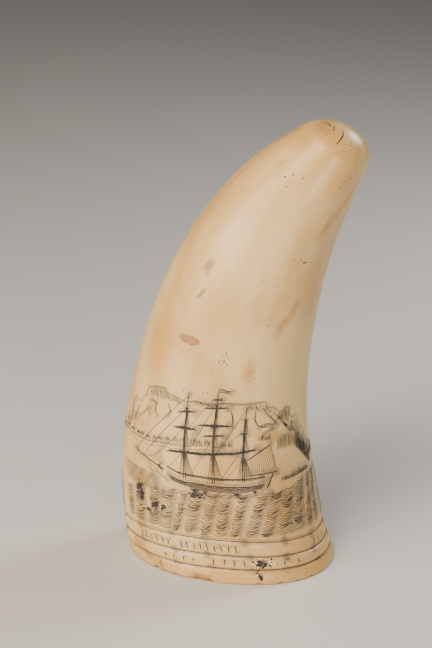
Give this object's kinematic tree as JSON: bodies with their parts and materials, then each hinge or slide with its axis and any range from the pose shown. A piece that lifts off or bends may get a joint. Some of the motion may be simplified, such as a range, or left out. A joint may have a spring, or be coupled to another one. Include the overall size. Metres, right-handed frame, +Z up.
{
  "type": "scrimshaw whale tooth",
  "caption": "Curved whale tooth standing on its cut root, with carved bands round the foot and an inked engraving of a ship at sea.",
  "frame": {"origin": "on the ground, under the middle of the tooth's bounding box", "axes": "+Z up; +X the side that the tip leans to, with the convex outer edge on -X; -Y the broad face that carries the ship"},
  "size_m": [0.09, 0.0582, 0.1665],
  "materials": {
    "ivory": "satin",
    "ink": "matte"
  },
  "bodies": {
    "root": {"tooth": "ivory"}
  },
  "joints": []
}
